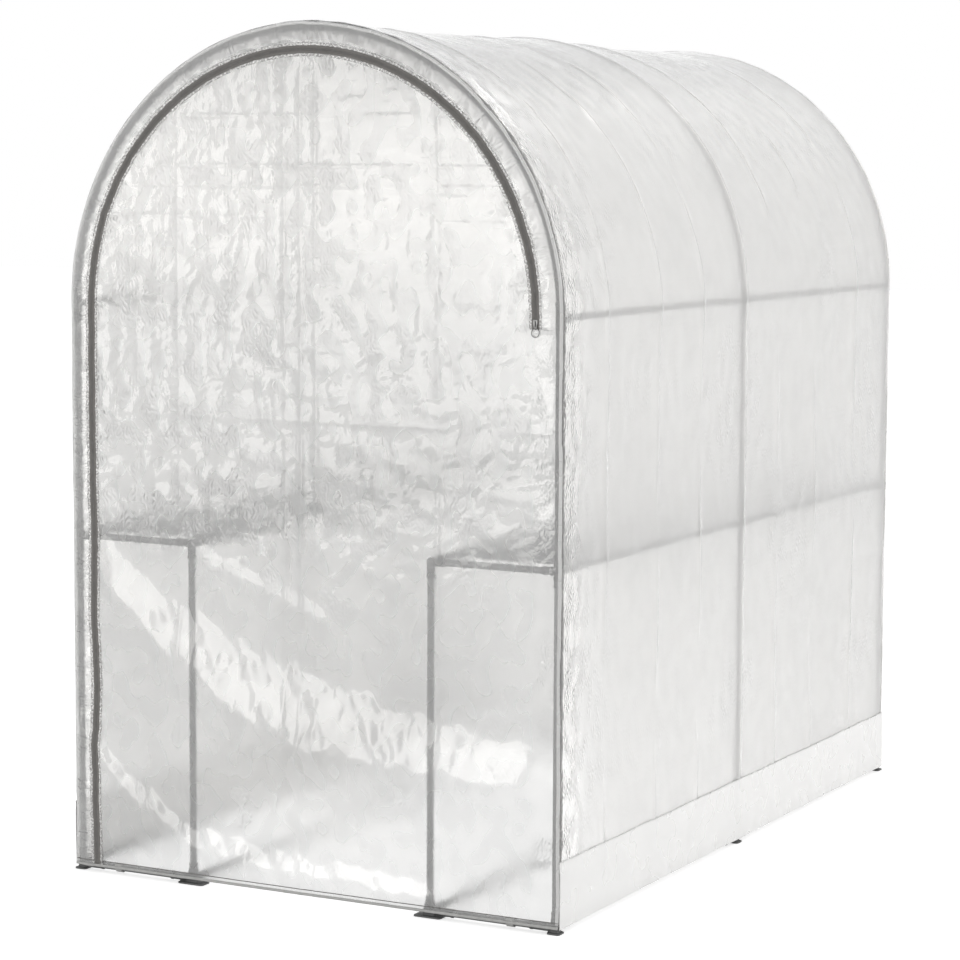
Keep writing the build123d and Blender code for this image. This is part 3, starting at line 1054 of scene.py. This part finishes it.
def grained(name, group, speckle, fading, low, high, rough, depth, metallic=0.0):
    """Finish with two shades mottled together and a fine surface."""
    material, graph = new_finish(name, Metallic=metallic)
    mottle = set_all(graph.node("Group"), node_tree=group)
    graph.fed(mottle, {"Speckle Scale": speckle, "Fading Scale": fading})
    shade = mottle.outputs["Shade"]
    colour = graph.blend(graph.span(shade, 0.3, 0.7, 0.0, 1.0), low, high)
    normal = graph.bump(mottle.outputs["Height"], depth, 0.5)
    graph.paint(Base_Color=colour, Roughness=graph.span(shade, 0.3, 0.7, *rough), Normal=normal)
    return material


def zip_cloth():
    """Woven zip tape: fine herringbone ribs across the tape, paler toward its edges."""
    material, graph = new_finish("zip_cloth", Sheen_Weight=0.2)
    place = graph.film_place()
    wave = graph.node("TexWave", Vector=place, Scale=240, Distortion=1.5)
    ribs = set_all(wave, bands_direction="DIAGONAL").outputs["Fac"]
    fade = graph.film_noise(place, 0.02, 0.05, 3)
    mixed = graph.math("MULTIPLY", graph.math("ADD", ribs, fade), 0.5)
    from_teeth = graph.math("ABSOLUTE", graph.node("SeparateXYZ", Vector=place).outputs["X"])
    # Darker next to the teeth and paler toward the edges of the tape.
    weave_paler_to_edges = graph.math("ADD", mixed, graph.span(from_teeth, 0.003, 0.010, -0.3, 0.6))
    colour = graph.blend(weave_paler_to_edges, (0.115, 0.108, 0.101), (0.260, 0.250, 0.238))
    rough = graph.span(mixed, 0.0, 1.0, 0.75, 0.55)
    graph.paint(Base_Color=colour, Roughness=rough, Normal=graph.bump(ribs, 0.0004))
    return material


def dress(piece, material, slot, *nodes):
    """Gives a piece its finish, its body and the nodes that it stands for."""
    piece.data.materials.clear()
    piece.data.materials.append(material)
    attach(piece, "root")
    if nodes:
        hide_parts(*nodes)
    return piece


# Studio: name, place, aim, width, height and power of each lamp
LAMPS = (
    ("front soft box", (-2.35, -6.6, 1.75), (0, -1.0, 1.1), 2.9, 3.2, 80),
    ("right soft box", (5.5, 0.5, 3.0), (0.3, 0, 1.0), 3.0, 2.6, 95),
    ("top soft box", (1.95, 4.1, 6.0), (0.3, 0, 1.8), 1.2, 0.9, 15),
)
WORLD_FILL = 0.60
FLOOR_GLOW = 0.6


def soft_lamp(name, place, aim, width, height, power):
    """Large soft box that the camera doesn't see."""
    light = bpy.data.lights.new(name, "AREA")
    set_all(light, shape="RECTANGLE", size=width, size_y=height, energy=power, color=(1.0, 0.985, 0.96))
    turn = (Vector(aim) - Vector(place)).to_track_quat("-Z", "Y").to_euler()
    lamp = set_all(linked(name, light), location=place, rotation_euler=turn)
    set_all(lamp, visible_camera=False, visible_transmission=False)


def seen_directly(graph):
    """1 for rays from the camera, from gloss and through glass, and 0 for the rest."""
    path = graph.node("LightPath").outputs
    first = graph.math("MAXIMUM", path["Is Camera Ray"], path["Is Glossy Ray"])
    return graph.math("MAXIMUM", first, path["Is Transmission Ray"])


def studio():
    """White surroundings, pale floor and soft boxes."""
    scene = bpy.context.scene
    scene.view_settings.view_transform = "Standard"
    set_all(scene.cycles, max_bounces=6, transmission_bounces=6, diffuse_bounces=1, glossy_bounces=2)
    world = bpy.data.worlds.new("studio")
    scene.world = world
    world.use_nodes = True
    graph = Graph(world.node_tree)
    white = (1, 1, 1, 1)
    strength = graph.span(seen_directly(graph), 0, 1, WORLD_FILL, 1.0)
    graph.fed(graph.nodes["Background"], {"Color": white, "Strength": strength})

    bpy.ops.mesh.primitive_plane_add(size=60)
    floor = bpy.context.object
    floor.name = "floor"
    plain = {"Base_Color": (0.82, 0.82, 0.82, 1), "Roughness": 0.9, "Specular_IOR_Level": 0.1}
    material, graph = new_finish("floor", Emission_Color=white, **plain)
    graph.paint(Emission_Strength=graph.math("MULTIPLY", seen_directly(graph), FLOOR_GLOW))
    floor.data.materials.append(material)
    for lamp in LAMPS:
        soft_lamp(*lamp)


def camera():
    """Camera at the photograph's place and angle."""
    yaw, pitch, roll = 0.4861, 0.1088, 0.0045
    lens = set_all(bpy.data.cameras.new("camera"), lens=111.26, sensor_width=36)
    eye = linked("camera", lens)
    tilt = Matrix.Rotation(math.pi / 2 - pitch, 4, "X")
    turn = Matrix.Rotation(yaw, 4, "Z") @ tilt @ Matrix.Rotation(roll, 4, "Z")
    eye.matrix_world = Matrix.Translation((3.5095, -6.8173, 1.7246)) @ turn
    bpy.context.scene.camera = eye


camera()
studio()

film = clear_film()
welded = doubled_film()
sewn = sewn_film()
grain = grain_group()
painted = grained("painted_tube", grain, 900, 14, (0.115, 0.118, 0.118), (0.175, 0.178, 0.178),
                  (0.45, 0.32), 0.0002)
plastic = grained("moulded_plastic", grain, 1400, 30, (0.070, 0.072, 0.072), (0.115, 0.117, 0.117),
                  (0.55, 0.42), 0.0003)
coated = grained("coated_wire", grain, 1200, 25, (0.16, 0.165, 0.165), (0.24, 0.245, 0.245),
                 (0.5, 0.38), 0.0002)
metal = grained("slider_metal", grain, 1500, 60, (0.10, 0.10, 0.10), (0.26, 0.26, 0.255),
                (0.42, 0.28), 0.0002, 0.85)
thread = grained("stitch_thread", grain, 2600, 80, (0.14, 0.135, 0.13), (0.24, 0.235, 0.23),
                 (0.8, 0.65), 0.0002)
webbing = grained("tie_webbing", grain, 1800, 60, (0.42, 0.42, 0.41), (0.58, 0.58, 0.57),
                  (0.75, 0.6), 0.0004)
cloth = zip_cloth()

tube = tube_tree()
row = row_tree()


def bars(name, lines, radius, sides, finish, slot, *nodes):
    """Dressed piece of round bars along lines."""
    return dress(grow(name, lines, tube, Radius=radius, Sides=sides, Finish=finish), finish, slot, *nodes)


def steel(name, lines, *nodes):
    """Dressed piece of the frame's tubes."""
    return bars(name, lines, TUBE_RADIUS, 24, painted, "tube", *nodes)


# Frame tubes, fittings and shelves
RAILS = (
    ("shoulder", POST_X, SHOULDER_Z),
    ("outer_shelf", POST_X, SHELF_Z),
    ("inner_shelf", INNER_X, SHELF_Z),
    ("outer_base", POST_X, BASE_Z),
    ("inner_base", INNER_X, BASE_Z),
)
for name, y in zip(("front", "middle", "rear"), HOOPS):
    steel(f"{name}_hoop_tube", [hoop_line(y)], f"{name}_hoop")
for name, side in NAMED_SIDES:
    steel(f"{name}_outer_post_tubes", post_lines(side * POST_X, SHOULDER_Z), f"{name}_outer_posts")
    steel(f"{name}_inner_post_tubes", post_lines(side * INNER_X, SHELF_Z), f"{name}_inner_posts")
    for label, x, z in RAILS:
        steel(f"{name}_{label}_rail_tubes", rail_lines(side * x, z), f"{name}_{label}_rails")
    for bay, label in ((HOOPS[:2], "front"), (HOOPS[1:], "rear")):
        main, fine = shelf_lines(side, bay)
        shelf = f"{name}_{label}_shelf"
        bars(f"{shelf}_wires", main, WIRE_RADIUS, 10, coated, "wire", shelf)
        bars(f"{shelf}_fine_wires", fine, FINE_WIRE_RADIUS, 8, coated, "wire", shelf)
for label, z in (("shelf", SHELF_Z), ("base", BASE_Z)):
    steel(f"{label}_cross_rail_tubes", cross_lines(z), f"{label}_cross_rails")

up, down, inwards, outwards = (0, 0, 1), (0, 0, -1), (-1, 0, 0), (1, 0, 0)
short, long = SOCKET_REACH, FOOT_REACH
kinds = (
    ("outer_feet", POST_X, BASE_Z, [(up, short), (inwards, long)], (0.033, 0.033), False, 0.013),
    ("inner_feet", INNER_X, BASE_Z, [(up, short), (outwards, long)], (0.071, 0.039), False, 0.019),
    ("outer_shelf_fittings", POST_X, SHELF_Z, [(up, short), (down, short), (inwards, short)]),
    ("inner_shelf_fittings", INNER_X, SHELF_Z, [(down, short), (outwards, short)]),
    ("shoulder_fittings", POST_X, SHOULDER_Z, [(down, short)], None, True),
)
for name, *shape in kinds:
    dress(fittings(f"moulded_{name}", *shape), plastic, "fitting", name)

# Film
cover = dress(cover_sheet(), film, "film", "left_wall_film", "right_wall_film", "roof_film")
door = dress(door_panel(), film, "film", "door_film")
border = dress(front_border(), film, "film", "front_surround_film")
rear = dress(rear_panel(), film, "film", "rear_film")
skirts = [dress(skirt_sheet(side), welded, "film", f"{name}_skirt") for name, side in NAMED_SIDES]
for sheet in (cover, door, border, rear, *skirts):
    set_all(thicken(sheet), visible_shadow=False, visible_diffuse=False)
for sheet in (door, border, *skirts):
    sheet.modifiers["film thickness"].use_rim = False

# Zip
dress(zip_tape(), cloth, "zip", "door_zip")
for side in SIDES:
    ruffle = dress(zip_ruffle(side), sewn, "film")
    ruffle.visible_shadow = False
beads = {"tree": row, "Finish": thread}
coil = grow("zip_coil", [zip_line(0.0, 0.0016)], Spacing=0.0026, Size=(0.0021, 0.0018, 0.0052), **beads)
dress(coil, thread, "zip")
seams = [zip_line(offset, 0.0018) for offset in (-0.0078, 0.0078)]
stitches = grow("zip_stitches", seams, Spacing=0.0042, Size=(0.0032, 0.0007, 0.0008), **beads)
dress(stitches, thread, "zip")
dress(slider_body(), metal, "slider", "zip_slider")
bridge, ring = slider_lines()
bars("slider_bridge", bridge, 0.0012, 10, metal, "slider", "zip_slider")
bars("slider_ring", ring, 0.0010, 10, metal, "slider", "zip_slider")

# Seams, hem and ties
for name, y in (("front", FRONT_Y + SEAM_INSET), ("rear", REAR_Y - SEAM_INSET)):
    bars(f"{name}_seam", [seam_line(y)], SEAM_RADIUS, 12, welded, "film")
bars("skirt_welds", [weld_line(side) for side in SIDES], 0.0014, 8, welded, "film")
bars("hem_cords", hem_lines(0.002, 0.0006) + hem_lines(0.015, 0.0006), 0.0011, 8, thread, "film")
bars("hem_rolls", hem_lines(0.0036, 0.0012)[:2], 0.0034, 12, webbing, "film")
dress(ties(), webbing, "tie", "cover_ties")
